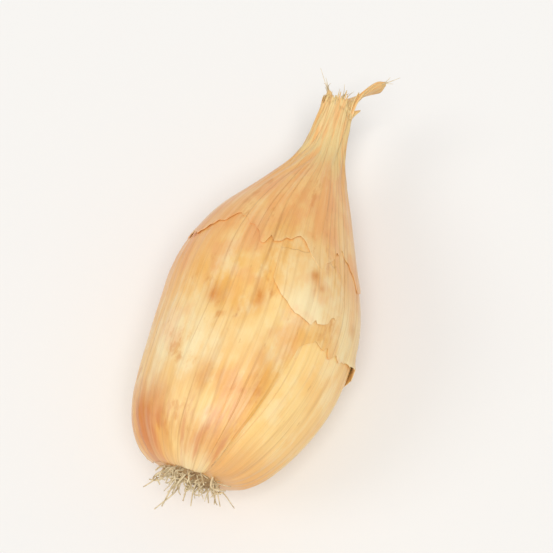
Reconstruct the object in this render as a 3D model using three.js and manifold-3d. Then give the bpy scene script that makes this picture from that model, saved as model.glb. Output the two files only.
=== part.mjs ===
import * as THREE from "three";
import { mergeVertices } from "three/addons/utils/BufferGeometryUtils.js";
import Module from "manifold-3d";

// One onion set: a small long onion bulb, grown for planting, lying on its side.
// It grew as one piece, so it is one solid: body, dry neck and root end.
// Millimetres, +Z up. The roots point to -Y and the neck to +Y, and the origin is
// under the middle of the whole bulb, at the level that it rests on.

const wasm = await Module();
wasm.setup();

// Driving dimensions
const bulbWidth = 25; // widest place, across X
const bulbHeight = 23.6; // the same place, up Z, before the rest spot is flattened
const bodyLength = 45; // root plate to the foot of the neck
const neckLength = 7.5; // foot of the neck to its torn end
const restDepth = 0.4; // taken off the belly, which leaves the flat rest spot

// Outline, as shares of the body's length and of its half width
const widestAt = 0.48;
const endShare = 0.29; // the root plate
const rootPower = 2.2; // how blunt the root end is
const shoulderEnd = 1.1; // where the shoulder has run out, a little way up the neck
const shoulderPower = 2.35; // how hollow the shoulder is
const neckStart = 0.75; // where the outline begins to draw in further for the neck
const neckTaper = 0.44; // how much thinner the neck's end is than the root plate
const plateDome = 0.5; // how far the root plate stands out in its middle

// How far the middle line strays from straight
const rootOffset = new THREE.Vector2(-1.1, 1.2); // the root plate, across X and up Z
const rootReach = 0.36; // share of the body over which that offset fades
const shoulderLean = -0.8; // the shoulder's fuller side
const neckSweep = new THREE.Vector2(-0.2, 1.2); // the neck's end, across X and up Z
const neckFlat = 0.66; // the neck's thickness over its width

// Lobes of the cross-section: waves round it, depth as a share, and turn
const lobes = [
  { waves: 2, depth: 0.012, turn: 0.6 },
  { waves: 3, depth: 0.016, turn: 1.9 },
  { waves: 5, depth: 0.006, turn: 0.4 },
];

// Fineness of the solid
const sidesRound = 42;
const bodyRings = 34;
const neckRings = 7;

const rootY = -widestAt * bodyLength;
const neckEnd = 1 + neckLength / bodyLength;
const { smoothstep, clamp } = THREE.MathUtils;

// How full the body is at a share of its length: blunt at the root, hollow at the neck
function fullness(along) {
  if (along < widestAt) {
    const short = (widestAt - along) / widestAt;
    return (1 - short ** rootPower) ** (1 / rootPower);
  }
  const past = Math.min((along - widestAt) / (shoulderEnd - widestAt), 1);
  return (1 - past ** 2) ** shoulderPower;
}

// Radius of the round outline, before it is made oval and lobed
function outlineRadius(along) {
  const end = endShare * (1 - neckTaper * smoothstep(along, neckStart, neckEnd));
  return (bulbWidth / 2) * (end + (1 - endShare) * fullness(along));
}

// Where the middle of the cross-section lies, as x and z
function middle(along) {
  const atRoot = 1 - smoothstep(along, 0, rootReach);
  const upNeck = clamp((along - 1) / (neckEnd - 1), 0, 1);
  const shoulder = Math.sin(Math.PI * clamp((along - 0.4) / 0.6, 0, 1)) ** 2;
  return new THREE.Vector2(
    rootOffset.x * atRoot + shoulderLean * shoulder + neckSweep.x * upNeck ** 1.5,
    rootOffset.y * atRoot + neckSweep.y * upNeck ** 1.5,
  );
}

// Share by which the lobes lift the surface at an angle
function lobed(angle, along) {
  const belly = Math.sin(Math.PI * clamp(along, 0, 1)) ** 0.5;
  return lobes.reduce(
    (sum, lobe) => sum + belly * lobe.depth * Math.cos(lobe.waves * angle + lobe.turn),
    1,
  );
}

// Stations along the bulb, closest together at the round root end
function stations() {
  const body = Array.from({ length: bodyRings + 1 }, (_, i) => (i / bodyRings) ** 1.6);
  const neck = Array.from(
    { length: neckRings },
    (_, i) => 1 + (neckEnd - 1) * ((i + 1) / neckRings),
  );
  return [...body, ...neck];
}

function bulbGeometry() {
  const outline = stations().map(
    (along) => new THREE.Vector2(outlineRadius(along), along * bodyLength),
  );
  const rootPole = new THREE.Vector2(0, -plateDome);
  const neckPole = new THREE.Vector2(0, neckEnd * bodyLength + plateDome);
  const geometry = new THREE.LatheGeometry([rootPole, ...outline, neckPole], sidesRound);
  const position = geometry.attributes.position;
  const point = new THREE.Vector3();
  for (let i = 0; i < position.count; i++) {
    point.fromBufferAttribute(position, i);
    const along = clamp(point.y / bodyLength, 0, neckEnd);
    const angle = Math.atan2(point.z, point.x);
    const flat = THREE.MathUtils.lerp(
      bulbHeight / bulbWidth,
      neckFlat,
      smoothstep(along, 0.85, 1.1),
    );
    const lift = lobed(angle, along);
    const centre = middle(along);
    point.set(
      point.x * lift + centre.x,
      point.y + rootY,
      point.z * lift * flat + centre.y,
    );
    position.setXYZ(i, point.x, point.y, point.z);
  }
  return geometry;
}

// A tapering strand with an oval section, bent along a curve
function strandGeometry({ path, width, thickness, taper, sides, steps }) {
  const geometry = new THREE.CylinderGeometry(1, 1, 1, sides, steps);
  const position = geometry.attributes.position;
  const up = new THREE.Vector3(0, 0, 1);
  for (let i = 0; i < position.count; i++) {
    const across = position.getX(i);
    const over = position.getZ(i);
    const share = position.getY(i) + 0.5;
    const tangent = path.getTangent(share);
    const side = new THREE.Vector3().crossVectors(tangent, up).normalize();
    const lift = new THREE.Vector3().crossVectors(side, tangent);
    const size = 1 - taper * share;
    const point = path
      .getPoint(share)
      .addScaledVector(side, (across * size * width) / 2)
      .addScaledVector(lift, (over * size * thickness) / 2);
    position.setXYZ(i, point.x, point.y, point.z);
  }
  return geometry;
}

// The torn dry leaf ends of the neck: how far each one reaches, and which way
const shreds = [
  { from: [-0.8, 0.1], to: [-2.0, 2.3, 0.4], width: 1.4, thickness: 0.8 },
  { from: [0, 0], to: [0.2, 2.0, -0.2], width: 1.7, thickness: 1.0 },
  { from: [0.5, 0], to: [5.0, 5.4, 0.8], width: 2.4, thickness: 1.1 },
];
const shredHold = 1.6; // how far a shred starts inside the neck

function shredGeometry({ from, to, width, thickness }) {
  const held = middle(neckEnd - shredHold / bodyLength);
  const end = middle(neckEnd);
  const neckTop = rootY + neckEnd * bodyLength;
  const foot = new THREE.Vector3(held.x + from[0], neckTop - shredHold, held.y + from[1]);
  const tip = new THREE.Vector3(end.x + to[0], neckTop + to[1], end.y + to[2]);
  const bend = new THREE.Vector3(foot.x, (foot.y + tip.y) / 2, foot.z);
  return strandGeometry({
    path: new THREE.QuadraticBezierCurve3(foot, bend, tip),
    width,
    thickness,
    taper: 0.7,
    sides: 8,
    steps: 4,
  });
}

// The dried roots: short stubs spread over the root plate, splayed outwards
const rootCount = 13;
const rootSpread = 2.6; // radius that they stand on
const rootLength = 2.6;
const rootWidth = 0.8;
const rootHold = 0.9; // how far a root starts inside the plate
const goldenAngle = Math.PI * (3 - Math.sqrt(5));

function rootGeometry(index) {
  const share = Math.sqrt((index + 0.5) / rootCount);
  const angle = index * goldenAngle;
  const outward = new THREE.Vector3(Math.cos(angle), 0, Math.sin(angle));
  const centre = middle(0);
  const plate = new THREE.Vector3(centre.x, rootY, centre.y);
  const foot = plate.clone().addScaledVector(outward, rootSpread * share);
  foot.y += rootHold;
  const length = rootLength * (0.75 + 0.35 * Math.sin(3 * index + 1));
  const tip = plate.clone().addScaledVector(outward, rootSpread * share * 1.5);
  tip.y -= length;
  const bend = new THREE.Vector3(foot.x, (foot.y + tip.y) / 2, foot.z);
  return strandGeometry({
    path: new THREE.QuadraticBezierCurve3(foot, bend, tip),
    width: rootWidth,
    thickness: rootWidth,
    taper: 0.45,
    sides: 6,
    steps: 2,
  });
}

function toSolid(geometry) {
  const bare = geometry.index ? geometry : mergeVertices(geometry);
  bare.deleteAttribute("normal");
  bare.deleteAttribute("uv");
  const merged = mergeVertices(bare, 1e-3);
  return new wasm.Manifold(
    new wasm.Mesh({
      numProp: 3,
      vertProperties: merged.attributes.position.array,
      triVerts: new Uint32Array(merged.index.array),
    }),
  );
}

function toGeometry(solid) {
  const mesh = solid.getMesh();
  return new THREE.BufferGeometry()
    .setAttribute("position", new THREE.BufferAttribute(mesh.vertProperties, mesh.numProp))
    .setIndex(new THREE.BufferAttribute(mesh.triVerts, 1));
}

// Puts the bulb's middle over the origin, with its belly under z = 0 by the rest depth,
// and takes that much off it
function resting(solid) {
  const { min, max } = solid.boundingBox();
  const placed = solid.translate([
    -(min[0] + max[0]) / 2,
    -(min[1] + max[1]) / 2,
    -min[2] - restDepth,
  ]);
  const under = new THREE.BoxGeometry(2 * bulbWidth, 2 * bodyLength, bulbWidth);
  under.translate(0, 0, -bulbWidth / 2);
  return placed.subtract(toSolid(under));
}

const shredSolids = shreds.map((shred) => toSolid(shredGeometry(shred)));
const rootSolids = Array.from({ length: rootCount }, (_, i) => toSolid(rootGeometry(i)));
const bulbSolid = [...shredSolids, ...rootSolids].reduce(
  (sum, piece) => sum.add(piece),
  toSolid(bulbGeometry()),
);

const onionBulb = new THREE.Mesh(
  toGeometry(resting(bulbSolid)),
  new THREE.MeshStandardMaterial({ color: 0xe3b679, roughness: 0.48, metalness: 0 }),
);
onionBulb.name = "onion_bulb";

const onionSet = new THREE.Group();
onionSet.add(onionBulb);

export default onionSet;
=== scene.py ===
import math

import bpy
import numpy as np
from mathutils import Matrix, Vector


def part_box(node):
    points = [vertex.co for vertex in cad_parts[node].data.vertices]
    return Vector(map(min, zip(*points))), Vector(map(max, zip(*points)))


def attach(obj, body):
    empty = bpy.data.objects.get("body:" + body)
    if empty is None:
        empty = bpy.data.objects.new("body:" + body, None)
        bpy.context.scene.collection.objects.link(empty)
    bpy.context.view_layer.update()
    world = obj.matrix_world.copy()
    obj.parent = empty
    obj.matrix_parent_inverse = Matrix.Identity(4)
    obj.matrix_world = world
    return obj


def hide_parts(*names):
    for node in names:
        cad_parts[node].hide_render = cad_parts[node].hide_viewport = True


# An onion set: a small long onion bulb, dried for planting, lying on its side.
# Metres. The roots point to -Y, the neck to +Y and up is +Z.

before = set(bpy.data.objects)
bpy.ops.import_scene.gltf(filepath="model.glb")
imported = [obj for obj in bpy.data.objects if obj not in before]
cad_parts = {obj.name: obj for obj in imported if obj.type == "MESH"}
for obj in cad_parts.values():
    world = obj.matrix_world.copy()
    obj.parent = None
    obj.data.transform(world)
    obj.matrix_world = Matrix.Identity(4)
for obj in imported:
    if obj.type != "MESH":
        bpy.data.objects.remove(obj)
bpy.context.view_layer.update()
bulbLow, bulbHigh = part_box("onion_bulb")
goldenAngle = math.pi * (3 - math.sqrt(5))  # the turn that spreads feet evenly
closeClearance = 0.0002  # the least height of any point of the roots and the neck's end
noiseStart, noiseSpan = -0.1, 1.5  # where the noise lattice lies along the bulb


def smoothStep(value, start, end):
    # 0 before start, 1 after end, and an S-curve between
    share = np.clip((value - start) / (end - start), 0, 1)
    return share * share * (3 - 2 * share)


def latticeNoise(angle, along, cellsRound, cellsLong, seed):
    # Random heights from -1 to 1 on a lattice that closes on itself round the bulb,
    # joined by S-curves. The lattice reaches a little past both ends. Its size is in
    # cells round and cells along, and the seed picks its heights.
    heights = np.random.default_rng(seed).uniform(-1, 1, (cellsLong + 2, cellsRound))
    u = (angle / (2 * np.pi)) % 1 * cellsRound
    v = np.clip((along - noiseStart) / noiseSpan, 0, 1) * cellsLong
    column, row = np.floor(u).astype(int), np.floor(v).astype(int)
    acrossCell, upCell = smoothStep(u - column, 0, 1), smoothStep(v - row, 0, 1)
    left, right = column % cellsRound, (column + 1) % cellsRound
    near = heights[row, left] * (1 - acrossCell) + heights[row, right] * acrossCell
    far = heights[row + 1, left] * (1 - acrossCell) + heights[row + 1, right] * acrossCell
    return near * (1 - upCell) + far * upCell


def unit(vectors):
    # each vector over its own length
    return vectors / np.linalg.norm(vectors, axis=-1, keepdims=True)


def makePiece(name, points, faces, material, slot, **attributes):
    # a smooth mesh with its attributes, one value or vector a point
    mesh = bpy.data.meshes.new(name)
    mesh.from_pydata(points.reshape(-1, 3).tolist(), [], faces)
    mesh.shade_smooth()
    for key, values in attributes.items():
        isVector = values.ndim > 1 and values.shape[-1] == 3
        kind, field = ("FLOAT_VECTOR", "vector") if isVector else ("FLOAT", "value")
        layer = mesh.attributes.new(key, kind, "POINT")
        layer.data.foreach_set(field, values.astype(np.float32).ravel())
    mesh.materials.append(material)
    piece = bpy.data.objects.new(name, mesh)
    bpy.context.scene.collection.objects.link(piece)
    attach(piece, "root")
    return piece


def gridFaces(rows, columns, closed):
    # the quads of a grid of points, row by row; closed joins the last column to the first
    row = np.arange(rows - 1)[:, None] * columns
    column = np.arange(columns if closed else columns - 1)[None, :]
    after = (column + 1) % columns
    quads = np.stack(
        [row + column, row + columns + column, row + columns + after, row + after], axis=-1
    )
    return quads.reshape(-1, 4).tolist()


def fanFaces(ring, pole, turned):
    # triangles from a ring of points to the pole that closes it
    after = np.roll(ring, -1)
    order = [after, ring] if turned else [ring, after]
    return np.stack([*order, np.full_like(ring, pole)], axis=-1).tolist()


def linearColour(hexCode):
    # an sRGB hex value as linear red, green, blue and alpha: a straight run near black,
    # then a power of 2.4
    parts = [int(hexCode[i:i + 2], 16) / 255 for i in (0, 2, 4)]
    return [p / 12.92 if p <= 0.04045 else ((p + 0.055) / 1.055) ** 2.4 for p in parts] + [1]


def addNode(tree, kind, inputs=None, **settings):
    # a node with its settings; an input is a value, or the socket that feeds it
    node = tree.nodes.new(kind)
    for key, value in settings.items():
        setattr(node, key, value)
    for key, value in (inputs or {}).items():
        if isinstance(value, bpy.types.NodeSocket):
            tree.links.new(value, node.inputs[key])
        else:
            node.inputs[key].default_value = value
    return node


def newMaterial(name):
    # a material with an empty node tree
    material = bpy.data.materials.new(name)
    material.use_nodes = True
    material.node_tree.nodes.clear()
    return material, material.node_tree


skinLook = {
    "tan": "f8b26a",  # the oldest skin, by the neck
    "straw": "fdcd84",
    "gold": "f7ba62",
    "paintedShade": "f1a654",  # painted shade: one side drawn darker and oranger
    "cream": "ffd88f",
    "pearl": "ffeab6",  # where the skin stands off and shows whiter; also the painted highlights
    "stain": "d9822c",
    "blush": "d98a5c",
    "rose": "f0a06c",
    "vein": "b8763a",
    "flesh": "fdd186",  # the younger layer under it
    "fleshRoot": "e9b06a",
    "ash": "eccf90",  # the weathered neck
    "veinSpacing": 1.3,  # sizes in millimetres: across the bulb, then along it
    "veinWidth": 0.2,  # about 0.1 in life, drawn coarser so that it shows
    "veinWander": (6.0, 22.0),
    "veinPatch": (5.0, 15.0),
    "fibre": (0.9, 17.0),
    "fineFibre": (0.3, 10.0),  # rows of cells, under 0.1 in life, drawn coarser too
    "cloud": (8.0, 11.0),
    "mottle": (3.4, 5.5),
    "speck": (0.9, 1.9),
    "stainSize": (2.6, 4.2),
    "blushSize": (1.8, 5.0),
    "roseSize": (4.5, 6.0),
    "reliefHeight": 0.12,
    "reliefStrength": 0.6,
    "veinStrength": 0.34,  # how strongly the veins are coloured
    "veinWaves": 3.0,  # how many vein spacings a vein may wander
    "roughness": (0.32, 0.46),  # where it is glossiest, and where it is dullest
    "veinRoughness": 0.12,  # added on the veins
    "ior": 1.43,
    "coat": 0.2,  # the waxy sheen
    "coatRoughness": 0.22,
    "subsurface": 0.1,
    "subsurfaceDepth": 0.0012,  # metres
    "subsurfaceTint": (1.0, 0.55, 0.3),
}
youngLook = dict(skinLook, veinStrength=0.22, reliefStrength=0.35)


def skinMaterial(name, look, isOuter):
    # Dry onion skin: a papery leaf, dried on the bulb. Satin, with raised veins from root
    # to neck, mottled where it has come away, and tan where it is oldest. Painted highlights,
    # and painted shade on one side, are in its colour.
    material, tree = newMaterial(name)

    def add(kind, inputs=None, **settings):
        return addNode(tree, kind, inputs, **settings)

    def compute(operation, a, b=0.0, c=0.0):
        return add("ShaderNodeMath", {0: a, 1: b, 2: c}, operation=operation).outputs[0]

    grain = add("ShaderNodeAttribute", attribute_name="grain").outputs["Vector"]
    lifted = add("ShaderNodeAttribute", attribute_name="lifted").outputs["Fac"]
    split = add("ShaderNodeSeparateXYZ", {0: grain})
    alongSkin = split.outputs["Z"]
    turn = compute("ARCTAN2", split.outputs["Y"], split.outputs["X"])

    def streaks(size, detail, offset):
        # Noise drawn out along the bulb. Size is across it and along it in millimetres, and
        # the offset gives each pattern its own part of the noise.
        across = bulb["width"] * 500 / size[0]
        scale = (across, across, bulb["bodyLength"] * 1000 / size[1])
        spot = add(
            "ShaderNodeMapping", {"Vector": grain, "Location": (offset,) * 3, "Scale": scale}
        ).outputs[0]
        return add(
            "ShaderNodeTexNoise", {"Vector": spot, "Scale": 1.0, "Detail": detail, "Roughness": 0.6}
        ).outputs["Fac"]

    def ramp(value, start, end, low=0.0, high=1.0):
        # low up to start, high from end on, and an S-curve between
        return add(
            "ShaderNodeMapRange",
            {"Value": value, "From Min": start, "From Max": end, "To Min": low, "To Max": high},
            interpolation_type="SMOOTHSTEP",
        ).outputs[0]

    def blend(share, base, over):
        # base with its share of over on it; each is a colour's name or a socket
        over = linearColour(look[over]) if isinstance(over, str) else over
        base = linearColour(look[base]) if isinstance(base, str) else base
        return add("ShaderNodeMix", {0: share, 6: base, 7: over}, data_type="RGBA").outputs[2]

    # veins: lines at even angles that wander a little, each with its own strength
    veinCount = round(math.pi * bulb["width"] * 1000 / look["veinSpacing"])
    sideways = compute("SUBTRACT", streaks(look["veinWander"], 1.0, 3.1), 0.5)
    wander = compute("MULTIPLY", sideways, look["veinWaves"])
    phase = compute("MULTIPLY_ADD", turn, veinCount / (2 * math.pi), wander)
    halfLine = look["veinWidth"] / look["veinSpacing"] / 2
    line = ramp(compute("PINGPONG", phase, 0.5), halfLine * 0.3, halfLine * 1.7, 1.0, 0.0)
    whichVein = compute("MODULO", compute("ROUND", phase), veinCount)
    ownNoise = add("ShaderNodeTexWhiteNoise", {"W": whichVein}, noise_dimensions="1D")
    strength = ramp(ownNoise.outputs["Value"], 0.1, 0.9, 0.2, 1.0)
    veinPatch = ramp(streaks(look["veinPatch"], 2.0, 9.7), 0.36, 0.62)
    vein = compute("MULTIPLY", compute("MULTIPLY", line, strength), veinPatch)

    fibre = streaks(look["fibre"], 2.0, 5.5)
    fineFibre = streaks(look["fineFibre"], 2.0, 15.5)
    cloud = streaks(look["cloud"], 3.0, 1.7)
    mottle = streaks(look["mottle"], 4.0, 26.3)
    speck = streaks(look["speck"], 3.0, 7.9)

    if isOuter:
        # gold and cream in clouds, paler in mottles
        colour = blend(ramp(cloud, 0.4, 0.62), "gold", "cream")
        colour = blend(ramp(mottle, 0.48, 0.68, 0.0, 0.55), colour, "pearl")
        # tan with age towards the neck, and painted shade on one side, darker and oranger there
        tan = blend(ramp(mottle, 0.4, 0.64, 0.0, 0.8), "tan", "straw")
        age = compute("MULTIPLY_ADD", compute("SUBTRACT", cloud, 0.5), 0.6, alongSkin)
        colour = blend(ramp(age, 0.48, 0.72), colour, tan)
        shadedSide = ramp(split.outputs["X"], -0.35, -0.85, 0.0, 0.75)
        colour = blend(compute("MULTIPLY", shadedSide, ramp(alongSkin, 0.3, 0.55)), colour, "paintedShade")
        # whiter where it stands off: partly the skin's own paleness, partly painted highlight spots
        pale = compute("MULTIPLY", lifted, ramp(mottle, 0.34, 0.56, 0.5, 1.0))
        colour = blend(compute("MULTIPLY", pale, 0.85), colour, "pearl")
        # stains, a rosy cast, and the placed bruises
        stained = ramp(streaks(look["stainSize"], 4.0, 12.3), 0.58, 0.72, 0.0, 0.55)
        colour = blend(stained, colour, "stain")
        rosy = ramp(streaks(look["roseSize"], 3.0, 33.1), 0.5, 0.66, 0.0, 0.34)
        colour = blend(rosy, colour, "rose")
        bruised = add("ShaderNodeAttribute", attribute_name="bruised").outputs["Fac"]
        bruised = compute("MULTIPLY", bruised, ramp(mottle, 0.36, 0.54, 0.35, 1.0))
        colour = blend(bruised, colour, "stain")
        # blush in patches round the root
        nearRoot = ramp(alongSkin, 0.26, 0.04)
        patches = ramp(streaks(look["blushSize"], 3.0, 20.1), 0.44, 0.62, 0.0, 0.6)
        colour = blend(compute("MULTIPLY", nearRoot, patches), colour, "blush")
    else:
        # even and bright, with a little gold and pearl in it
        colour = blend(ramp(mottle, 0.4, 0.64), "flesh", "cream")
        colour = blend(ramp(cloud, 0.46, 0.66, 0.0, 0.45), colour, "gold")
        pearly = ramp(streaks(look["roseSize"], 4.0, 33.1), 0.5, 0.7, 0.0, 0.5)
        colour = blend(pearly, colour, "pearl")
        colour = blend(ramp(alongSkin, 0.14, 0.01), colour, "fleshRoot")
    # both: a weathered neck, then fibres, veins and specks
    onNeck = ramp(alongSkin, 0.88, 1.02)
    colour = blend(compute("MULTIPLY", onNeck, ramp(mottle, 0.36, 0.6, 0.35, 0.85)), colour, "ash")
    colour = blend(ramp(fibre, 0.5, 0.74, 0.0, 0.2), colour, "pearl")
    colour = blend(ramp(fibre, 0.48, 0.26, 0.0, 0.2), colour, "vein")
    colour = blend(ramp(fineFibre, 0.5, 0.25, 0.0, 0.14), colour, "vein")
    colour = blend(compute("MULTIPLY", vein, look["veinStrength"]), colour, "vein")
    colour = blend(ramp(speck, 0.66, 0.8, 0.0, 0.35), colour, "vein")

    patchy = ramp(cloud, 0.3, 0.7, *look["roughness"])
    gloss = compute("MULTIPLY_ADD", vein, look["veinRoughness"], patchy)
    height = compute("MULTIPLY_ADD", vein, 0.5, compute("MULTIPLY", fibre, 0.7))
    height = compute("MULTIPLY_ADD", fineFibre, 0.3, height)
    height = compute("MULTIPLY_ADD", speck, 0.3, height)
    bump = add(
        "ShaderNodeBump",
        {
            "Height": height,
            "Strength": look["reliefStrength"],
            "Distance": look["reliefHeight"] / 1000,
        },
    )
    shader = add(
        "ShaderNodeBsdfPrincipled",
        {
            "Base Color": colour,
            "Roughness": gloss,
            "Normal": bump.outputs[0],
            "IOR": look["ior"],
            "Subsurface Weight": look["subsurface"],
            "Subsurface Radius": look["subsurfaceTint"],
            "Subsurface Scale": look["subsurfaceDepth"],
            "Coat Weight": look["coat"],
            "Coat Roughness": look["coatRoughness"],
        },
    )
    add("ShaderNodeOutputMaterial", {"Surface": shader.outputs[0]})
    return material


def plainMaterial(name, low, high, patchSize, roughness, bumpDepth):
    # A dry fibrous surface: noise in patches of a size in metres, with a finer grain in
    # them. It mixes the low colour into the high one, and raises the surface with it.
    material, tree = newMaterial(name)
    spot = addNode(tree, "ShaderNodeTexCoord").outputs["Object"]
    patches = addNode(
        tree,
        "ShaderNodeTexNoise",
        {"Vector": spot, "Scale": 1 / patchSize, "Detail": 5.0, "Roughness": 0.65},
    ).outputs["Fac"]
    tone = addNode(
        tree, "ShaderNodeMapRange", {"Value": patches, "From Min": 0.35, "From Max": 0.65}
    ).outputs[0]
    colour = addNode(
        tree,
        "ShaderNodeMix",
        {0: tone, 6: linearColour(low), 7: linearColour(high)},
        data_type="RGBA",
    ).outputs[2]
    bump = addNode(
        tree, "ShaderNodeBump", {"Height": patches, "Strength": 0.6, "Distance": bumpDepth}
    )
    shader = addNode(
        tree,
        "ShaderNodeBsdfPrincipled",
        {"Base Color": colour, "Roughness": roughness, "Normal": bump.outputs[0]},
    )
    addNode(tree, "ShaderNodeOutputMaterial", {"Surface": shader.outputs[0]})
    return material


bulb = {
    "width": 0.025,
    "height": 0.0236,
    "bodyLength": 0.045,  # root plate to the foot of the neck
    "neckLength": 0.0075,
    "rootStub": 0.00278,  # root plate to the tips of the frame's stub roots
    "restDepth": 0.0004,  # how deep the rest spot is flattened
    "widestAt": 0.48,  # shares of the body's length from here on
    "endShare": 0.29,  # root plate's share of the width
    "rootPower": 2.2,
    "shoulderEnd": 1.1,
    "shoulderPower": 2.35,
    "neckStart": 0.75,
    "neckTaper": 0.44,
    "rootOffset": (-0.0011, 0.0012),  # x and z of the root plate's middle
    "rootReach": 0.36,
    "shoulderLean": -0.0008,
    "neckSweep": (-0.0002, 0.0012),
    "neckFlat": 0.66,
    "lobes": ((2, 0.012, 0.6), (3, 0.016, 1.9), (5, 0.006, 0.4)),  # waves, depth, turn
    "dentDepth": 0.00022,
    "pleatDepth": 0.00026,
    "wrinkleDepth": 0.00004,
    "neckPinch": 0.0002,  # how far the dried neck has shrivelled in at its end
}
neckEnd = 1 + bulb["neckLength"] / bulb["bodyLength"]  # how far along the neck ends

# Outer skin: the oldest leaf bases, cured dry to brittle paper: satin, tan and stained
outerSkin = skinMaterial("dried_outer_skin", skinLook, True)
# Younger skin: the next leaf base, still tight and waxy: smoother, brighter and plainer
innerSkin = skinMaterial("younger_skin", youngLook, False)
# Dried roots: thin dead fibre, matt and grey-brown. Patch size, roughness, relief depth
rootFibre = plainMaterial("dried_root_fibre", "b39d76", "f0dfb8", 0.0011, 0.8, 0.00005)
# Root plate: corky stem, matt and brown
corkPlate = plainMaterial("corky_root_plate", "8a6a45", "bb9a6b", 0.0014, 0.85, 0.0002)
print("materials made")


def middleLine(along):
    # The section's middle: off to one side at the root, fuller on one shoulder, and
    # swept over along the neck. x and z.
    atRoot = 1 - smoothStep(along, 0, bulb["rootReach"])
    upNeck = np.clip((along - 1) / (neckEnd - 1), 0, 1.4) ** 1.5
    shoulder = np.sin(np.pi * np.clip((along - 0.4) / 0.6, 0, 1)) ** 2
    x = bulb["rootOffset"][0] * atRoot + bulb["shoulderLean"] * shoulder
    z = bulb["rootOffset"][1] * atRoot
    return x + bulb["neckSweep"][0] * upNeck, z + bulb["neckSweep"][1] * upNeck


def outlineRadius(along):
    # A blunt superellipse from the root to the widest place, then a hollow shoulder
    # that runs out into the neck
    short = np.clip((bulb["widestAt"] - along) / bulb["widestAt"], 0, 1)
    past = np.clip((along - bulb["widestAt"]) / (bulb["shoulderEnd"] - bulb["widestAt"]), 0, 1)
    rootSide = (1 - short ** bulb["rootPower"]) ** (1 / bulb["rootPower"])
    neckSide = (1 - past ** 2) ** bulb["shoulderPower"]
    full = np.where(along < bulb["widestAt"], rootSide, neckSide)
    end = bulb["endShare"] * (1 - bulb["neckTaper"] * smoothStep(along, bulb["neckStart"], neckEnd))
    return bulb["width"] / 2 * (end + (1 - bulb["endShare"]) * full)


def relief(along, angle):
    # What stands out from the smooth form: broad dents from noise, lengthwise wrinkles
    # from noise in narrow cells, and pleats from cosines of the angle, which gather and
    # turn towards the neck and, finer, round the root plate
    dents = bulb["dentDepth"] * latticeNoise(angle, along, 7, 5, 11)
    dents += bulb["dentDepth"] * 0.5 * latticeNoise(angle, along, 16, 9, 12)
    dents = dents * smoothStep(along, 0, 0.12) * (1 - smoothStep(along, 0.85, 1))
    twist = angle + 1.1 * smoothStep(along, 0.8, 1.3)
    gather = smoothStep(along, 0.68, 1.03)
    pleats = np.abs(np.cos(5.5 * twist + 0.9 * np.sin(2 * angle))) ** 0.7 - 0.5
    pleats += 0.35 * np.cos(17 * twist + 2 * np.sin(3 * angle))
    rootGather = (1 - smoothStep(along, 0.02, 0.16)) * smoothStep(along, 0, 0.02)
    rootPleats = 0.45 * np.cos(23 * angle + 3 * np.sin(2 * angle))
    wrinkles = latticeNoise(angle, along, 62, 6, 13)
    wrinkles = wrinkles + 0.5 * latticeNoise(angle, along, 130, 9, 14)
    wrinkledHere = smoothStep(latticeNoise(angle, along, 9, 6, 15), -0.3, 0.6)
    wrinkles = wrinkles * (0.4 + 0.6 * wrinkledHere)
    pinch = bulb["neckPinch"] * smoothStep(along, neckEnd - 0.07, neckEnd)
    return (
        dents
        + bulb["pleatDepth"] * (pleats * gather + rootPleats * rootGather)
        + bulb["wrinkleDepth"] * wrinkles
        - pinch
    )


def bulbPoints(along, angle, relieved=True):
    # Each point: the outline's radius, lifted by the lobes and the relief, turned by its
    # angle about the middle line, and flattened on its way up the neck
    belly = np.sin(np.pi * np.clip(along, 0, 1)) ** 0.5
    lift = 1 + sum(
        belly * depth * np.cos(waves * angle + turn) for waves, depth, turn in bulb["lobes"]
    )
    radius = outlineRadius(along) * lift
    if relieved:
        radius = radius + relief(along, angle)
    share = smoothStep(along, 0.85, 1.1)
    flat = bulb["height"] / bulb["width"] * (1 - share) + bulb["neckFlat"] * share
    x, z = middleLine(along)
    return np.stack(
        [
            x + radius * np.cos(angle),
            along * bulb["bodyLength"] + 0 * angle,
            z + radius * flat * np.sin(angle),
        ],
        axis=-1,
    )


def outwardNormals(along, angle):
    # across the surface's own two directions, on the smooth form
    step = 2e-3
    ahead = bulbPoints(along + step, angle, False) - bulbPoints(along - step, angle, False)
    around = bulbPoints(along, angle + step, False) - bulbPoints(along, angle - step, False)
    return unit(np.cross(ahead, around))


# The smooth form is set on the frame's solid: middle over middle, and the belly under the
# floor by the rest depth
probeAlong, probeAngle = np.meshgrid(np.linspace(0, 1, 240), np.linspace(0, 2 * np.pi, 240))
probe = bulbPoints(probeAlong, probeAngle, False).reshape(-1, 3)
place = np.array(
    [
        (bulbLow.x + bulbHigh.x) / 2 - (probe[:, 0].min() + probe[:, 0].max()) / 2,
        bulbLow.y + bulb["rootStub"],
        -bulb["restDepth"] - probe[:, 2].min(),
    ]
)


def settle(points, clearance):
    # puts points in their place, and flattens what would go under the surface they rest on
    placed = points + place
    placed[..., 2] = np.maximum(placed[..., 2], clearance)
    return placed


def grainSpace(along, angle):
    # where a point is on the skin: the cosine and sine of its angle, and how far along
    return np.stack([np.cos(angle), np.sin(angle), along + 0 * angle], axis=-1)


flesh = {
    "columns": 300,
    "plateRows": 12,
    "bodyRows": 210,
    "neckRows": 44,
    "plateDome": 0.0005,
    "restClearance": 0.00022,  # leaves room for the outer skin under it
}


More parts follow.
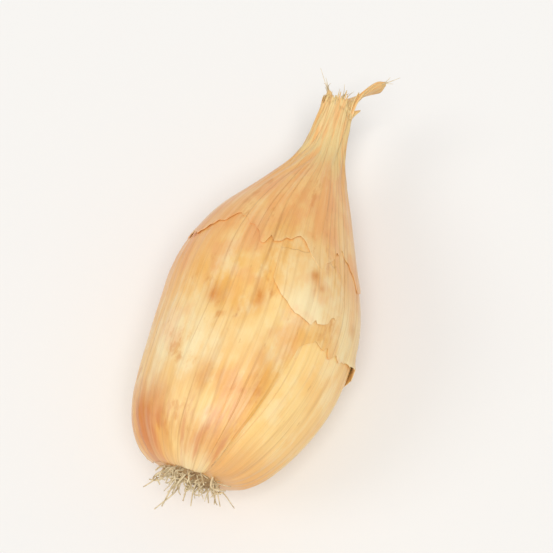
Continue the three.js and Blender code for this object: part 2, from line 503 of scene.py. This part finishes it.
def makeFlesh(settings):
    # The bulb's own surface from the edge of the root plate to the neck's end, the plate as
    # rings that shrink to its middle and rise as one minus the square, and a point at each end
    angle = np.linspace(0, 2 * np.pi, settings["columns"], endpoint=False)
    body = np.linspace(0.0, 1, settings["bodyRows"]) ** 1.6
    neck = 1 + (neckEnd - 1) * np.arange(1, settings["neckRows"] + 1) / settings["neckRows"]
    along, angles = np.meshgrid(np.concatenate([body, neck]), angle, indexing="ij")
    skin = bulbPoints(along, angles)
    # the root plate: rings from near its middle out to its edge, domed
    share = (np.arange(1, settings["plateRows"]) / settings["plateRows"])[:, None, None]
    middle = skin[0].mean(axis=0)
    plate = middle + (skin[0] - middle) * share
    plate[..., 1] -= settings["plateDome"] * (1 - share[..., 0] ** 2)
    points = np.concatenate([plate, skin])
    rows = len(points)
    rootPole = middle - [0, settings["plateDome"], 0]
    neckPole = skin[-1].mean(axis=0) + [0, settings["plateDome"], 0]
    points = settle(
        np.concatenate([points.reshape(-1, 3), [rootPole, neckPole]]), settings["restClearance"]
    )
    columns = settings["columns"]
    ring = np.arange(columns)
    faces = gridFaces(rows, columns, True)
    faces += fanFaces(ring, rows * columns, False)
    faces += fanFaces(ring + (rows - 1) * columns, rows * columns + 1, True)
    alongAll = np.concatenate([np.zeros((len(plate), columns)), along])
    anglesAll = np.broadcast_to(angle, alongAll.shape)
    grain = grainSpace(alongAll, anglesAll).reshape(-1, 3)
    grain = np.concatenate([grain, [[0, 0, 0], [0, 0, neckEnd]]])
    lifted = np.zeros(len(grain))
    return makePiece("young_skin", points, faces, innerSkin, "dry_skin", grain=grain, lifted=lifted)


youngSkin = makeFlesh(flesh)
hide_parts("onion_bulb")
print("young skin made")


def tornEdge(angle, corners, rag, seed):
    # The edge's place along the bulb at each angle: straight runs between its corners,
    # then a ragged line on top from noise, with splits where a wider noise peaks.
    # Corners are (degrees, along).
    turns = np.radians([c[0] for c in corners])
    heights = np.array([c[1] for c in corners])
    smooth = np.interp(angle, turns, heights, period=2 * np.pi)
    zero = np.zeros_like(angle)
    ragged = latticeNoise(angle, zero, 46, 1, seed)
    ragged = ragged + 0.5 * latticeNoise(angle, zero, 131, 1, seed + 1)
    splits = np.maximum(latticeNoise(angle, zero, 71, 1, seed + 2) - 0.62, 0) * 6
    return np.maximum(smooth + rag * (ragged + splits) * smoothStep(smooth, 0, 0.1), 0.0003)


def bells(angles, along, places):
    # Soft spots: a bell of the distance round and along, for each (degrees, along, spread
    # in degrees, spread along, strength)
    total = np.zeros_like(along)
    for turned, at, wide, long, strength in places:
        away = np.angle(np.exp(1j * (angles - np.radians(turned)))) / np.radians(wide)
        total = total + strength * np.exp(-(away ** 2) - ((along - at) / long) ** 2)
    return total


def thicken(piece, thickness):
    # gives a sheet its thickness, half of it on each side
    leaf = piece.modifiers.new("leaf", "SOLIDIFY")
    leaf.thickness = thickness
    leaf.offset = 0


def makeLayer(name, settings, material):
    # A patch of the bulb's own surface between two torn edges, held off it by its lift.
    # Its lips curl further off within curlReach of the lower edge, it billows and crinkles
    # by noise, and its dome is a sine from side to side that fades towards the neck.
    start, end = np.radians(settings["angles"])
    closed = settings["angles"][1] - settings["angles"][0] >= 360
    angle = np.linspace(start, end, settings["columns"], endpoint=not closed)
    low = tornEdge(angle, settings["lowEdge"], settings["rag"], settings["seed"])
    high = tornEdge(angle, settings["highEdge"], settings["topRag"], settings["seed"] + 10)
    share = np.linspace(0, 1, settings["rows"])[:, None] ** 1.5
    along = low + (high - low) * share
    angles = np.broadcast_to(angle, along.shape)
    fromEdge = (along - low) * bulb["bodyLength"]
    lipHeight = np.maximum(latticeNoise(angle, 0 * angle, 13, 1, settings["seed"] + 20) + 0.35, 0)
    curl = settings["curl"] * lipHeight * np.exp(-fromEdge / settings["curlReach"])
    swell = latticeNoise(angles, along, 8, 7, settings["seed"] + 30)
    billow = settings["billow"] * smoothStep(swell, 0, 0.8)
    billow = billow * smoothStep(fromEdge, 0, 0.004) * (1 - smoothStep(along, 0.7, 0.95))
    crinkle = settings["crinkle"] * (1 + latticeNoise(angles, along, 120, 9, settings["seed"] + 40))
    sideShare = np.sin(np.pi * np.clip((angles - start) / (end - start), 0, 1)) ** 0.8
    dome = settings["dome"] * sideShare * (1 - share) ** 0.7
    lift = settings["lift"] + curl + billow + crinkle + dome
    points = bulbPoints(along, angles) + lift[..., None] * outwardNormals(along, angles)
    faces = gridFaces(settings["rows"], settings["columns"], closed)
    stoodOff = (curl + billow + dome) / settings["paleHeight"]
    # whiter where it stands off, with the painted highlight spots added to it
    lifted = np.clip(stoodOff + bells(angles, along, settings["pale"]), 0, 1)
    bruised = np.clip(bells(angles, along, settings["bruises"]), 0, 1)
    piece = makePiece(
        name, settle(points, settings["restClearance"]), faces, material, "dry_skin",
        grain=grainSpace(along, angles), lifted=lifted, bruised=bruised,
    )
    thicken(piece, settings["thickness"])


mainLayer = {
    "angles": (0, 360),
    "lowEdge": (  # corners of the torn edge: degrees, and how far along
        (68, 0.001), (65, 0.08), (62, 0.24), (59, 0.36), (50, 0.395), (36, 0.38), (20, 0.41),
        (0, 0.42), (-32, 0.38), (-58, 0.2), (-90, 0.1), (-130, 0.05), (-170, 0.004),
        (-230, 0.001), (-280, 0.001),
    ),
    "highEdge": ((0, neckEnd), (90, neckEnd + 0.03), (200, neckEnd - 0.02)),
    "columns": 300,
    "rows": 140,
    "rag": 0.008,  # depth of the ragged line, in shares of the body, and of the upper one
    "topRag": 0.014,
    "curl": 0.0005,
    "curlReach": 0.0011,
    "billow": 0.0003,
    "crinkle": 0.00003,
    "dome": 0.0,
    "paleHeight": 0.0006,  # stands off this far where it is palest
    # each spot: degrees, along, spread in both, and how strong
    # painted highlights: whitish spots where the light glints on the skin
    "pale": (
        (110, 0.25, 8, 0.07, 0.9), (130, 0.3, 17, 0.13, 0.6), (30, 0.5, 26, 0.12, 0.5),
        (250, 0.3, 40, 0.15, 0.5),
    ),
    "bruises": (
        (142, 0.07, 28, 0.08, 1.2), (84, 0.06, 22, 0.05, 0.5), (112, 0.43, 7, 0.03, 0.6),
        (88, 0.45, 4, 0.03, 0.9), (72, 0.22, 4, 0.05, 0.9),
        (103, 0.2, 6, 0.05, 0.5), (76, 0.3, 5, 0.03, 0.4), (96, 0.66, 8, 0.03, 0.4),
        (205, 0.5, 8, 0.05, 0.5), (292, 0.62, 6, 0.04, 0.6), (250, 0.2, 9, 0.04, 0.5),
        (335, 0.55, 6, 0.04, 0.6), (20, 0.5, 5, 0.02, 0.5),
    ),
    "lift": 0.00012,
    "thickness": 0.00006,
    "restClearance": 0.00004,
    "seed": 100,
}
makeLayer("outer_skin", mainLayer, outerSkin)

neckLayer = dict(mainLayer)  # what it shares with the main layer, and then its own
neckLayer.update(
    lowEdge=(
        (-20, 0.7), (10, 0.62), (40, 0.69), (58, 0.6), (75, 0.66), (96, 0.61), (118, 0.7),
        (150, 0.6), (172, 0.66), (200, 0.72), (235, 0.63), (280, 0.74), (310, 0.66),
    ),
    highEdge=((0, neckEnd - 0.03), (120, neckEnd + 0.01), (240, neckEnd + 0.03)),
    rows=80,
    columns=280,
    rag=0.016,
    curl=0.00012,
    billow=0.00002,
    pale=(),
    bruises=(),
    lift=0.0002,
    seed=200,
)
makeLayer("neck_skin", neckLayer, outerSkin)

flakeLayer = dict(mainLayer)
flakeLayer.update(
    angles=(37, 84),
    lowEdge=(
        (35, 0.52), (42, 0.475), (50, 0.45), (58, 0.43), (68, 0.44), (78, 0.475), (86, 0.52),
    ),
    highEdge=((36, 0.6), (60, 0.64), (86, 0.6)),
    rows=90,
    columns=110,
    rag=0.006,
    topRag=0.006,
    curl=0.0001,
    billow=0.0,
    dome=0.00036,
    # a painted highlight on the flake
    pale=((60, 0.47, 20, 0.1, 0.5),),
    bruises=((61, 0.56, 3.4, 0.014, 1.0), (57, 0.535, 2.6, 0.012, 0.7)),
    lift=0.0002,
    seed=300,
)
makeLayer("loose_flake", flakeLayer, outerSkin)
print("outer skins made")


def carriedFrames(paths):
    # The direction of travel along each path, and two directions across it, from its cross
    # product with a slanted line that no path follows
    travel = unit(np.gradient(paths, axis=1))
    reference = np.broadcast_to([0.31, 0.17, 0.94], travel.shape)
    side = unit(np.cross(travel, reference))
    return travel, side, np.cross(side, travel)


def strandFaces(count, steps, sides):
    # the faces of closed strands, each a grid of rings followed by its two end points
    one = gridFaces(steps, sides, True)
    one += fanFaces(np.arange(sides), steps * sides, False)
    one += fanFaces(np.arange(sides) + (steps - 1) * sides, steps * sides + 1, True)
    perStrand = steps * sides + 2
    return [[i + perStrand * strand for i in face] for strand in range(count) for face in one]


def makeTubes(name, paths, radii, sides, material, slot):
    # Each strand: a ring of points carried along its path, its radius tapering, and a
    # point at each end that closes it
    count, steps = paths.shape[:2]
    turn = np.linspace(0, 2 * np.pi, sides, endpoint=False)
    _, side, lift = carriedFrames(paths)
    ring = (
        side[:, :, None] * np.cos(turn)[None, None, :, None]
        + lift[:, :, None] * np.sin(turn)[None, None, :, None]
    )
    body = paths[:, :, None] + ring * radii[:, :, None, None]
    points = np.concatenate([body.reshape(count, -1, 3), paths[:, :1], paths[:, -1:]], axis=1)
    makePiece(name, points, strandFaces(count, steps, sides), material, slot)


roots = {
    "count": 110,
    "steps": 11,
    "sides": 6,
    "radius": 0.00017,
    "plateRadius": 0.0031,
    "sink": 0.0003,  # how far each foot is set into the plate
    "length": (0.0010, 0.0028),
    "splay": 0.9,
    "curl": 0.8,
    "wave": 0.12,
    "stray": 0.2,  # how much each heading strays
    "seed": 5,
}


def makeRoots(settings):
    # Feet spread over the plate by the golden angle. Each root leaves along -Y, leans
    # outwards with its distance from the middle, and bends to one side on a parabola, with
    # a sine wave on the way.
    rng = np.random.default_rng(settings["seed"])
    count = settings["count"]
    share = np.sqrt((np.arange(count) + 0.5) / count)
    angle = np.arange(count) * goldenAngle
    outward = np.stack([np.cos(angle), 0 * angle, np.sin(angle)], axis=-1)
    x, z = middleLine(np.zeros(count))
    fromMiddle = outward * (share * settings["plateRadius"])[:, None]
    foot = np.stack([x, 0 * x, z], axis=-1) + fromMiddle
    foot[:, 1] += settings["sink"]
    length = rng.uniform(*settings["length"], count)[:, None, None]
    leaning = outward * (share * settings["splay"])[:, None] + [0, -1, 0]
    heading = unit(leaning + rng.normal(0, settings["stray"], (count, 3)))[:, None]
    bend = rng.normal(0, settings["curl"], (count, 1, 3))
    wave = rng.normal(0, settings["wave"], (count, 1, 3))
    t = np.linspace(0, 1, settings["steps"])[None, :, None]
    paths = foot[:, None] + length * (heading * t + bend * t ** 2 * 0.5 + wave * np.sin(7 * t))
    radii = settings["radius"] * rng.uniform(0.6, 1.2, (count, 1)) * (1 - 0.55 * t[..., 0])
    paths = settle(paths, closeClearance)
    makeTubes("dried_roots", paths, radii, settings["sides"], rootFibre, "dried_roots")


makeRoots(roots)

plate = {
    "radius": 0.0036,
    "rows": 16,
    "columns": 72,
    "height": 0.0007,
    "sink": 0.0006,  # how far its edge goes under the skin
    "ragged": 0.05,  # how uneven its edge is, as a share of its radius
}


def makePlate(settings):
    # A corky disc: low in its middle, raised in a ring that is a sine of the radius, knobbly
    # by noise, and falling with the fourth power of the radius to its edge
    share = np.linspace(0.06, 1, settings["rows"])[:, None]
    angle = np.linspace(0, 2 * np.pi, settings["columns"], endpoint=False)
    profile = np.sin(np.pi * share ** 1.4) ** 0.8 * 0.8 + 0.35 * (1 - share)
    knobs = 0.28 * latticeNoise(angle, share * 1.3, 21, 6, 61)
    knobs = knobs + 0.2 * latticeNoise(angle, share * 1.3, 47, 12, 62)
    height = settings["height"] * (profile + knobs * smoothStep(share, 0, 0.4) * (1 - share ** 6))
    x, z = middleLine(np.array(0.0))
    edge = 1 + settings["ragged"] * latticeNoise(angle, 0 * angle, 11, 1, 63)
    radius = settings["radius"] * share * edge
    fallen = settings["sink"] * share ** 4 - height
    points = np.stack([x + radius * np.cos(angle), fallen, z + radius * np.sin(angle)], axis=-1)
    rows, columns = settings["rows"], settings["columns"]
    pole = points[0].mean(axis=0)
    back = points[-1].mean(axis=0) + [0, settings["sink"], 0]
    faces = gridFaces(rows, columns, True)
    faces += fanFaces(np.arange(columns), rows * columns, False)
    faces += fanFaces(np.arange(columns) + (rows - 1) * columns, rows * columns + 1, True)
    points = np.concatenate([points.reshape(-1, 3), [pole, back]])
    points = settle(points, closeClearance)
    makePiece("root_plate", points, faces, corkPlate, "dried_roots")


makePlate(plate)
print("root end made")


leafEnds = {
    "hold": 0.0016,  # how far each starts inside the neck
    "steps": 64,
    "sides": 48,
    "foot": ((0.0005, 0.0), (-0.0008, 0.0001), (0.0, 0.0)),  # x and z off the neck's middle
    "tip": ((0.0050, 0.0054, 0.0008), (-0.0020, 0.0023, 0.0004), (0.0002, 0.0020, -0.0002)),
    "width": (0.0032, 0.0015, 0.0018),
    "thickness": (0.0019, 0.0008, 0.0010),
    "twist": (2.1, 1.5, 1.1),
    "taper": 0.42,
    "crease": 0.15,  # depth of its folds, as a share of its width
    "flatten": 0.62,  # how much thinner it is by its tip
    "grainLength": 0.16,  # how far its grain runs on past the neck's
}


def leafPaths(settings):
    # a curve for each leaf end: up the neck from its foot, then over to its tip, eased
    # between three points
    t = np.linspace(0, 1, settings["steps"])[None, :, None]
    foot, tip = np.array(settings["foot"]), np.array(settings["tip"])
    neckTop = neckEnd * bulb["bodyLength"]
    heldX, heldZ = middleLine(np.array(neckEnd - settings["hold"] / bulb["bodyLength"]))
    endX, endZ = middleLine(np.array(neckEnd))
    heldY = np.full(len(foot), neckTop - settings["hold"])
    start = np.stack([heldX + foot[:, 0], heldY, heldZ + foot[:, 1]], axis=-1)
    finish = tip + [endX, neckTop, endZ]
    bend = np.stack([start[:, 0], (start[:, 1] + finish[:, 1]) / 2, start[:, 2]], axis=-1)
    start, bend, finish = start[:, None], bend[:, None], finish[:, None]
    return (1 - t) ** 2 * start + 2 * t * (1 - t) * bend + t ** 2 * finish


def makeLeafEnds(settings):
    # The dried leaf ends that the neck runs out into: an oval carried along each path,
    # creased lengthwise by cosines of its angle, twisted, and drawn in to a torn tip
    paths = leafPaths(settings)
    count, steps, sides = len(paths), settings["steps"], settings["sides"]
    _, side, lift = (way[:, :, None] for way in carriedFrames(paths))
    t = np.linspace(0, 1, steps)[None, :, None]
    turn = np.linspace(0, 2 * np.pi, sides, endpoint=False)[None, None, :] + 0 * t
    number = np.arange(count)[:, None, None]
    crumpled = settings["crease"] * (0.6 + t)
    folds = np.cos(5 * turn + 2 * t + number) + 0.6 * np.cos(8 * turn - 3 * t + 2 * number)
    crease = 1 + crumpled * folds
    crease = crease + 0.4 * crumpled * np.cos(13 * turn + 9 * np.sin(2.5 * t + number))
    drawnIn = (1 - settings["taper"] * t) * np.sqrt(1 - 0.92 * smoothStep(t, 0.88, 1.0))
    size = crease * drawnIn / 2
    flattened = 1 - settings["flatten"] * smoothStep(t, 0, 0.8)
    width = np.array(settings["width"])[:, None, None] * size * np.cos(turn)
    thick = np.array(settings["thickness"])[:, None, None] * size * flattened * np.sin(turn)
    spin = np.array(settings["twist"])[:, None, None] * t
    acrossWay = (width * np.cos(spin) - thick * np.sin(spin))[..., None]
    overWay = (width * np.sin(spin) + thick * np.cos(spin))[..., None]
    body = paths[:, :, None] + side * acrossWay + lift * overWay
    points = np.concatenate([body.reshape(count, -1, 3), paths[:, :1], paths[:, -1:]], axis=1)
    faces = strandFaces(count, steps, sides)
    tipGrain = neckEnd + settings["grainLength"]
    alongLeaf = np.broadcast_to(neckEnd + settings["grainLength"] * t, body.shape[:3])
    grain = grainSpace(alongLeaf, turn + number).reshape(count, -1, 3)
    ends = np.broadcast_to([[1, 0, neckEnd], [1, 0, tipGrain]], (count, 2, 3))
    grain = np.concatenate([grain, ends], axis=1).reshape(-1, 3)
    makePiece(
        "neck_leaf_ends", settle(points, closeClearance), faces, outerSkin, "dry_skin",
        grain=grain, lifted=np.zeros(len(grain)),
    )


makeLeafEnds(leafEnds)

shreds = {
    "count": 11,
    "steps": 22,
    "across": 7,
    "length": (0.0014, 0.0034),
    "width": 0.0015,
    "narrowest": 0.00006,
    "radius": 0.0011,
    "drop": 0.03,  # how far below the neck's end they start, as a share of the body
    "cup": 0.35,
    "seed": 31,
    "thickness": 0.00007,
}


def neckFeet(count, drop, radius):
    # feet round the neck a little below its end, at golden angles, with the outward ways
    angle = np.arange(count) * goldenAngle
    outward = np.stack([np.cos(angle), 0 * angle, bulb["neckFlat"] * np.sin(angle)], axis=-1)
    x, z = middleLine(np.full(count, neckEnd - drop))
    foot = np.stack([x, np.full(count, (neckEnd - drop) * bulb["bodyLength"]), z], axis=-1)
    return angle, outward, foot + outward * radius


def makeShreds(settings):
    # Torn ribbons of leaf: each leaves the neck's end, bends over on a parabola, twists
    # evenly, narrows to its tip and is cupped across by the square of its width
    rng = np.random.default_rng(settings["seed"])
    count, steps, across = settings["count"], settings["steps"], settings["across"]
    angle, outward, foot = neckFeet(count, settings["drop"], settings["radius"])
    length = rng.uniform(*settings["length"], count)[:, None, None]
    heading = unit(outward * 0.16 + [0.12, 1, 0.08] + rng.normal(0, 0.1, (count, 3)))[:, None]
    bend = (outward * 0.2 + rng.normal(0, 0.22, (count, 3)))[:, None]
    t = np.linspace(0, 1, steps)[None, :, None]
    paths = foot[:, None] + length * (heading * t + bend * t ** 2 * 0.6)
    travel, side, lift = carriedFrames(paths)
    turn = angle[:, None, None] + rng.uniform(-2, 2, (count, 1, 1)) * t
    flatWay = side * np.cos(turn) + lift * np.sin(turn)
    otherWay = np.cross(travel, flatWay)
    s = np.linspace(-1, 1, across)[None, None, :, None]
    width = settings["width"] * rng.uniform(0.6, 1.1, (count, 1, 1)) * (1 - t) ** 0.6 * 0.5
    width = width + settings["narrowest"]
    cup = settings["cup"] * width
    points = (
        paths[:, :, None]
        + flatWay[:, :, None] * (s * width[:, :, None])
        + otherWay[:, :, None] * ((s ** 2 - 0.4) * cup[:, :, None])
    )
    one = gridFaces(steps, across, False)
    faces = [[i + steps * across * k for i in face] for k in range(count) for face in one]
    alongLeaf = neckEnd + 0 * points[..., 0]
    leafAngle = angle[:, None, None] + 0.25 * s[..., 0] + 0 * points[..., 0]
    piece = makePiece(
        "neck_shreds", settle(points, closeClearance), faces, outerSkin, "dry_skin",
        grain=grainSpace(alongLeaf, leafAngle), lifted=0 * alongLeaf,
    )
    thicken(piece, settings["thickness"])


makeShreds(shreds)

fray = {
    "neckCount": 24,
    "tipCount": 9,  # on each leaf end's tip
    "steps": 9,
    "sides": 5,
    "radius": 0.00006,
    "length": (0.0006, 0.0022),
    "drop": 0.02,  # as for the shreds
    "neckRadius": 0.0009,
    "tipSpread": 0.00012,
    "curl": 0.5,
    "seed": 77,
}


def makeFray(settings):
    # Loose fibres of the torn neck and its leaf ends: each follows what it stands on,
    # then bends away on a parabola
    rng = np.random.default_rng(settings["seed"])
    _, outward, foot = neckFeet(settings["neckCount"], settings["drop"], settings["neckRadius"])
    paths = leafPaths(leafEnds)
    tips = np.repeat(paths[:, -4], settings["tipCount"], axis=0)
    tips = tips + rng.normal(0, settings["tipSpread"], tips.shape)
    onwards = np.repeat(unit(paths[:, -1] - paths[:, -6]), settings["tipCount"], axis=0)
    foot = np.concatenate([foot, tips])
    heading = np.concatenate([outward * 0.25 + [0.1, 1, 0.15], onwards])
    count = len(foot)
    heading = unit(heading + rng.normal(0, 0.15, (count, 3)))[:, None]
    length = rng.uniform(*settings["length"], count)[:, None, None]
    bend = rng.normal(0, settings["curl"], (count, 1, 3))
    t = np.linspace(0, 1, settings["steps"])[None, :, None]
    paths = foot[:, None] + length * (heading * t + bend * t ** 2 * 0.5)
    radii = settings["radius"] * (1 - 0.6 * t[..., 0]) * np.ones((count, 1))
    paths = settle(paths, closeClearance)
    makeTubes("neck_fray", paths, radii, settings["sides"], rootFibre, "dry_skin")


makeFray(fray)
print("neck made")


stage = {
    "floor": "ecebe9",
    "floorSize": 40.0,
    # soft lights: strength, spread in degrees, and where each comes from
    "suns": ((1.86, 34, (0.12, -0.3, 0.95)), (0.44, 24, (-0.66, -0.3, 0.68))),
    "sunColour": (1.0, 0.985, 0.965),
    "worldStrength": 0.46,
    "worldSeen": "f8f6f2",  # the colour of the lit floor, so that no horizon shows
}


def makeStage(settings):
    # a square floor, the soft lights, and a plain pale world round them
    half = settings["floorSize"] / 2
    corners = [(-half, -half, 0), (half, -half, 0), (half, half, 0), (-half, half, 0)]
    mesh = bpy.data.meshes.new("floor")
    mesh.from_pydata(corners, [], [(0, 1, 2, 3)])
    floor = bpy.data.objects.new("floor", mesh)
    bpy.context.scene.collection.objects.link(floor)
    material, tree = newMaterial("pale_card_floor")
    shader = addNode(
        tree,
        "ShaderNodeBsdfPrincipled",
        {
            "Base Color": linearColour(settings["floor"]),
            "Roughness": 1.0,
            "Specular IOR Level": 0.0,
        },
    )
    addNode(tree, "ShaderNodeOutputMaterial", {"Surface": shader.outputs[0]})
    mesh.materials.append(material)

    for strength, spread, comesFrom in settings["suns"]:
        sun = bpy.data.objects.new("softLight", bpy.data.lights.new("softLight", "SUN"))
        sun.data.energy = strength
        sun.data.angle = math.radians(spread)
        sun.data.color = settings["sunColour"]
        sun.rotation_euler = Vector(comesFrom).to_track_quat("Z", "Y").to_euler()
        bpy.context.scene.collection.objects.link(sun)

    world = bpy.data.worlds.new("paleRoom")
    bpy.context.scene.world = world
    world.use_nodes = True
    tree = world.node_tree
    tree.nodes.clear()
    seen = addNode(tree, "ShaderNodeLightPath").outputs["Is Camera Ray"]
    lit = addNode(
        tree,
        "ShaderNodeBackground",
        {"Color": (1, 1, 1, 1), "Strength": settings["worldStrength"]},
    )
    shown = addNode(tree, "ShaderNodeBackground", {"Color": linearColour(settings["worldSeen"])})
    mixed = addNode(tree, "ShaderNodeMixShader", {0: seen, 1: lit.outputs[0], 2: shown.outputs[0]})
    addNode(tree, "ShaderNodeOutputWorld", {"Surface": mixed.outputs[0]})


camera = {
    "azimuth": 19,  # degrees, as is the elevation
    "elevation": 68,
    "lens": 90,
    "fill": 0.8,  # the bulb's share of the view's height
    "seenLength": 0.92,  # the length it shows, as a share of its own
}


def makeCamera(settings):
    # on a line from the middle of the bulb, as far off as makes it fill its share
    a, e = math.radians(settings["azimuth"]), math.radians(settings["elevation"])
    towards = Vector((math.sin(a) * math.cos(e), -math.cos(a) * math.cos(e), math.sin(e)))
    centre = (bulbLow + bulbHigh) / 2
    length = (bulbHigh.y - bulbLow.y) * settings["seenLength"]
    data = bpy.data.cameras.new("camera")
    data.lens = settings["lens"]
    distance = length / settings["fill"] * data.lens / data.sensor_width
    data.clip_start = distance / 50
    data.clip_end = 100
    seen = bpy.data.objects.new("camera", data)
    seen.location = centre + towards * distance
    seen.rotation_euler = towards.to_track_quat("Z", "Y").to_euler()
    bpy.context.scene.collection.objects.link(seen)
    bpy.context.scene.camera = seen


makeStage(stage)
makeCamera(camera)
bpy.context.scene.view_settings.view_transform = "Standard"
print("stage made")
